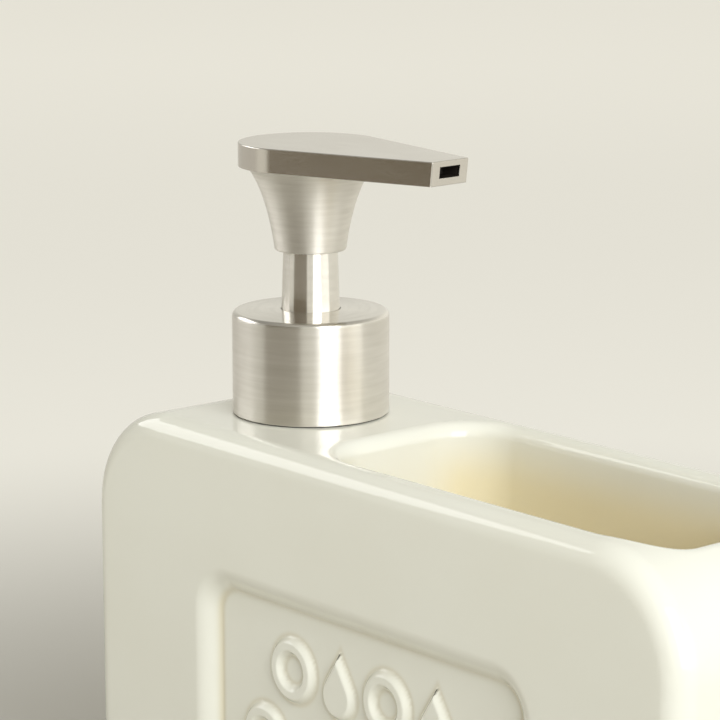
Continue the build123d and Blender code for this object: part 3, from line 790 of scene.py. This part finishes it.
def teardrop(inset, lean, height, arc_steps=120):
    """Points of the head's outline at a height: disc, then straight sides to the tip."""
    disc = HEAD_RADIUS - inset
    reach = SPOUT_REACH - inset
    half_width = SPOUT_HALF_WIDTH - inset
    side = math.atan2(half_width, reach) + math.acos(disc / math.hypot(reach, half_width))
    flat = [(reach - lean, -half_width), (reach - lean, half_width)]
    for step in range(arc_steps + 1):
        angle = side + (2 * math.pi - 2 * side) * step / arc_steps
        flat.append((disc * math.cos(angle), disc * math.sin(angle)))
    cosine, sine = math.cos(SPOUT_TURN), math.sin(SPOUT_TURN)
    return [
        (PUMP_X + u * cosine - v * sine, PUMP_Y + u * sine + v * cosine, height) for u, v in flat
    ]


def head_mesh():
    """Shell of the head, open below, with the slot through its leaning tip."""
    work = bmesh.new()
    weights = work.edges.layers.float.new("bevel_weight_edge")
    foot, top = head_low.z, head_high.z
    ceiling = top - HEAD_WALL
    rings = {}
    for key, inset, lean, height in (
        ("foot", 0.0, TIP_LEAN, foot),
        ("top", 0.0, 0.0, top),
        ("ceiling", HEAD_WALL, 0.0, ceiling),
        ("mouth", HEAD_WALL, 0.0, foot),
    ):
        rings[key] = [work.verts.new(point) for point in teardrop(inset, lean, height)]
    count = len(rings["foot"])
    work.faces.new(rings["top"])
    work.faces.new(reversed(rings["ceiling"]))
    for lower, upper in (("foot", "top"), ("ceiling", "mouth"), ("mouth", "foot")):
        for index in range(count):
            if index == 0 and lower != "mouth":
                continue
            onward = (index + 1) % count
            work.faces.new(
                (rings[lower][index], rings[lower][onward], rings[upper][onward], rings[upper][index])
            )
    # the tip: a frame of four faces round the slot, outside and inside, joined by the slot's sides
    cosine, sine = math.cos(SPOUT_TURN), math.sin(SPOUT_TURN)
    slot_z = COLLAR_FOOT + SLOT_MIDDLE
    mouths = []
    for inset, lean in ((0.0, TIP_LEAN), (HEAD_WALL, 0.0)):
        mouth = []
        for across, up in ((-1, -1), (1, -1), (1, 1), (-1, 1)):
            height = slot_z + up * SLOT_HALF_HEIGHT
            reach = SPOUT_REACH - inset - lean * (top - height) / (top - foot)
            width = across * SLOT_HALF_WIDTH
            mouth_x = PUMP_X + reach * cosine - width * sine
            mouth_y = PUMP_Y + reach * sine + width * cosine
            mouth.append(work.verts.new((mouth_x, mouth_y, height)))
        mouths.append(mouth)
    outer, inner = mouths
    outside = [rings["foot"][0], rings["foot"][1], rings["top"][1], rings["top"][0]]
    inside = [rings["mouth"][0], rings["mouth"][1], rings["ceiling"][1], rings["ceiling"][0]]
    for index in range(4):
        onward = (index + 1) % 4
        work.faces.new((outside[index], outside[onward], outer[onward], outer[index]))
        work.faces.new((inside[onward], inside[index], inner[index], inner[onward]))
        work.faces.new((outer[index], outer[onward], inner[onward], inner[index]))
    bmesh.ops.recalc_face_normals(work, faces=work.faces)
    for ring, weight in (("top", 1.0), ("foot", 0.35)):
        for index in range(count):
            edge = work.edges.get((rings[ring][index], rings[ring][(index + 1) % count]))
            edge[weights] = 1.0 if index == 0 else weight
    for index in range(2):
        work.edges.get((rings["foot"][index], rings["top"][index]))[weights] = 1.0
    for index in range(4):
        work.edges.get((outer[index], outer[(index + 1) % 4]))[weights] = 0.3
    mesh = bpy.data.meshes.new("head")
    work.to_mesh(mesh)
    work.free()
    mesh.shade_smooth()
    mesh.set_sharp_from_angle(angle=math.radians(30))
    return mesh


head = add_object("head", head_mesh(), head_metal, "head_nickel", "head", "head_shell")
edges = head.modifiers.new("edges", "BEVEL")
edges.limit_method = "WEIGHT"
edges.width = 0.5 * MM
edges.segments = 5
edges.use_clamp_overlap = True
edges.harden_normals = True


# ============================ return spring ============================

# the real coil shortens as the pump is pressed; here it is a fixed, smooth-shaded copy of the CAD's spring
# on the pump unit's body
coil_mesh = frame["nodes"]["return_spring"].data.copy()
coil_mesh.name = "coil_spring"
coil_mesh.shade_smooth()
coil_mesh.set_sharp_from_angle(angle=math.radians(40))
coil = add_object(
    "coil_spring", coil_mesh, node_materials["spring_steel"], "spring_steel", "pump_unit", "return_spring"
)
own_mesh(coil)


# ============================ finish of the CAD nodes that stay ============================

slots = {part["node"]: part["material_slot"] for part in frame["record"]["subparts"]}
for name, node in frame["nodes"].items():
    if node.hide_render:
        continue
    material = node_materials[slots[name]]
    if not node.material_slots:
        node.data.materials.append(material)
    for place in node.material_slots:
        place.material = material


# ============================ stage, light and camera ============================


def toward(azimuth, elevation):
    """Unit vector from the object: azimuth 0 is the front, 90 the well's end."""
    a, e = math.radians(azimuth), math.radians(elevation)
    return Vector((math.sin(a) * math.cos(e), -math.cos(a) * math.cos(e), math.sin(e)))


def flat_shader(name, light, dark, roughness):
    """Matt painted surface with a slow change of tone."""
    n = Nodes(name)
    n.join(n.ramp(n.noise(1.5, detail=2.0), [(0.3, dark), (0.7, light)]), n.shader.inputs["Base Color"])
    n.set(Roughness=roughness)
    return n.material


ROOM_TONE = (1.0, 0.980, 0.890, 1.0)
KEY_AZIMUTH = 71
FLOOR_REACH = 8.0
PATCH_DISTANCE = 1.35
PATCH_CORE = 0.40
PATCH_EDGE = 1.45
PATCH_TONE = 0.20
NEAR_GLOW = 0.35
FAR_GLOW = 0.08


def floor_paint():
    """Pale paint that brightens away from the object, as a lit sweep does."""
    n = Nodes("floor_paint")
    tone = n.ramp(n.noise(1.5, detail=2.0), [(0.3, (0.590, 0.569, 0.519)), (0.7, (0.602, 0.581, 0.531))])
    # less pale where the key light is strongest, so that it shows no hot patch
    from_patch = n.vector_math("SUBTRACT", n.coordinates, toward(KEY_AZIMUTH, 0) * PATCH_DISTANCE)
    patch_reach = n.vector_math("LENGTH", from_patch.outputs[0]).outputs["Value"]
    toned = n.add("ShaderNodeVectorMath", operation="SCALE")
    n.join(tone, toned.inputs[0])
    n.join(n.smooth(patch_reach, PATCH_CORE, PATCH_EDGE, PATCH_TONE), toned.inputs["Scale"])
    n.join(toned.outputs[0], n.shader.inputs["Base Color"])
    away = n.vector_math("LENGTH", n.coordinates).outputs["Value"]
    near_glow = n.smooth(away, 0.20, 0.50, high=NEAR_GLOW)
    far_glow = n.smooth(away, 0.70, 2.00, high=FAR_GLOW)
    n.join(n.math("ADD", near_glow, far_glow), n.shader.inputs["Emission Strength"])
    n.set(Emission_Color=ROOM_TONE, Roughness=0.9)
    return n.material


floor_mesh = bpy.data.meshes.new("floor")
floor_corners = [(-1, -1), (1, -1), (1, 1), (-1, 1)]
floor_mesh.from_pydata(
    [(FLOOR_REACH * x, FLOOR_REACH * y, 0) for x, y in floor_corners], [], [(0, 1, 2, 3)]
)
floor_mesh.materials.append(floor_paint())
floor = bpy.data.objects.new("floor", floor_mesh)
bpy.context.scene.collection.objects.link(floor)

AIM = Vector((PUMP_X + 0.02, 0.0, BODY_TOP))


def softbox(name, azimuth, elevation, distance, width, height, radiance, colour):
    """Rectangular soft light that looks at the pump."""
    light = bpy.data.lights.new(name, "AREA")
    light.shape = "RECTANGLE"
    light.size = width
    light.size_y = height
    light.energy = radiance * math.pi * width * height
    light.color = colour
    lamp = bpy.data.objects.new(name, light)
    bpy.context.scene.collection.objects.link(lamp)
    direction = toward(azimuth, elevation)
    lamp.location = AIM + direction * distance
    lamp.rotation_euler = direction.to_track_quat("Z", "Y").to_euler()
    lamp.visible_camera = False
    return lamp


key = softbox("key", KEY_AZIMUTH, 27, 2.0, 1.45, 1.09, 7.4, (0.92, 0.96, 1.0))
key.visible_glossy = False
for place in (
    ("window", 77, 21, 1.1, 0.58, 0.88, 4.6, (0.96, 0.98, 1.0)),
    ("left_softbox", -68, 26, 1.2, 0.90, 0.46, 2.7, (1.0, 1.0, 1.0)),
    ("right_softbox", 110, 10, 1.1, 0.80, 0.55, 1.15, (1.0, 0.99, 0.96)),
):
    softbox(*place).visible_diffuse = False


CARD_DISTANCE = 0.5


def shade_card(name, azimuth, half_width, height, tone, strength):
    """A card on the floor that only reflections see, for the shaded parts of the room."""
    mesh = bpy.data.meshes.new(name)
    mesh.from_pydata(
        [(-half_width, 0, 0), (half_width, 0, 0), (half_width, 0, height), (-half_width, 0, height)],
        [],
        [(0, 1, 2, 3)],
    )
    paint = flat_shader(name, (0.020, 0.018, 0.015), (0.018, 0.016, 0.013), 0.9)
    shader = paint.node_tree.nodes["Principled BSDF"]
    shader.inputs["Emission Color"].default_value = (*tone, 1.0)
    shader.inputs["Emission Strength"].default_value = strength
    mesh.materials.append(paint)
    card = bpy.data.objects.new(name, mesh)
    bpy.context.scene.collection.objects.link(card)
    card.location = Vector((AIM.x, AIM.y, 0.0)) + toward(azimuth, 0) * CARD_DISTANCE
    card.rotation_euler = (0.0, 0.0, math.radians(azimuth))
    card.visible_camera = False
    card.visible_diffuse = False
    card.visible_shadow = False
    card.visible_transmission = False


shade_card("dark_card", 6, 0.27, 0.45, (1.0, 0.80, 0.52), 0.15)
shade_card("grey_card", -76, 0.32, 0.155, (1.0, 0.96, 0.86), 0.58)

# the room: a little brighter overhead. In reflections it is dimmer overhead, and brightest on one side
HORIZON_LIGHT = 0.42
ZENITH_LIGHT = 0.56
SHINE_HORIZON = 1.0
SHINE_ZENITH = 0.50
SHINE_AZIMUTH = 115
SHINE_FAR_SIDE = 0.50
SHINE_NEAR_SIDE = 1.06
world = bpy.data.worlds.new("room")
world.use_nodes = True
sky = world.node_tree


def sky_range(source, low, high, bottom, top):
    """Smooth change of a sky value from bottom to top as the source goes from low to high."""
    node = sky.nodes.new("ShaderNodeMapRange")
    node.interpolation_type = "SMOOTHSTEP"
    node.inputs["From Min"].default_value = low
    node.inputs["From Max"].default_value = high
    node.inputs["To Min"].default_value = bottom
    node.inputs["To Max"].default_value = top
    sky.links.new(source, node.inputs["Value"])
    return node.outputs["Result"]


direction = sky.nodes.new("ShaderNodeTexCoord").outputs["Generated"]
parts = sky.nodes.new("ShaderNodeSeparateXYZ")
sky.links.new(direction, parts.inputs[0])
facing = sky.nodes.new("ShaderNodeVectorMath")
facing.operation = "DOT_PRODUCT"
sky.links.new(direction, facing.inputs[0])
facing.inputs[1].default_value = toward(SHINE_AZIMUTH, 0)
side = sky_range(facing.outputs["Value"], -1.1, 0.2, SHINE_FAR_SIDE, SHINE_NEAR_SIDE)
shine_height = sky_range(parts.outputs["Z"], 0.25, 0.80, SHINE_HORIZON, SHINE_ZENITH)
room_height = sky_range(parts.outputs["Z"], 0.20, 0.75, HORIZON_LIGHT, ZENITH_LIGHT)
shine_level = sky.nodes.new("ShaderNodeMath")
shine_level.operation = "MULTIPLY"
sky.links.new(side, shine_level.inputs[0])
sky.links.new(shine_height, shine_level.inputs[1])
path = sky.nodes.new("ShaderNodeLightPath")
level = sky.nodes.new("ShaderNodeMix")
level.data_type = "FLOAT"
sky.links.new(path.outputs["Is Glossy Ray"], level.inputs["Factor"])
sky.links.new(room_height, level.inputs["A"])
sky.links.new(shine_level.outputs[0], level.inputs["B"])
sky.links.new(level.outputs["Result"], sky.nodes["Background"].inputs["Strength"])
sky.nodes["Background"].inputs["Color"].default_value = ROOM_TONE
bpy.context.scene.world = world
bpy.context.scene.view_settings.view_transform = "Standard"

CAMERA_PLACE = Vector((0.4093, -0.3794, 0.2475))
CAMERA_AZIMUTH = 49.28
CAMERA_ELEVATION = 11.81
lens = bpy.data.cameras.new("camera")
lens.lens = 140.0
lens.sensor_width = 36.0
lens.clip_start = 0.01
camera = bpy.data.objects.new("camera", lens)
bpy.context.scene.collection.objects.link(camera)
camera.location = CAMERA_PLACE
view = toward(CAMERA_AZIMUTH, CAMERA_ELEVATION)
camera.rotation_euler = view.to_track_quat("Z", "Y").to_euler()
bpy.context.scene.camera = camera
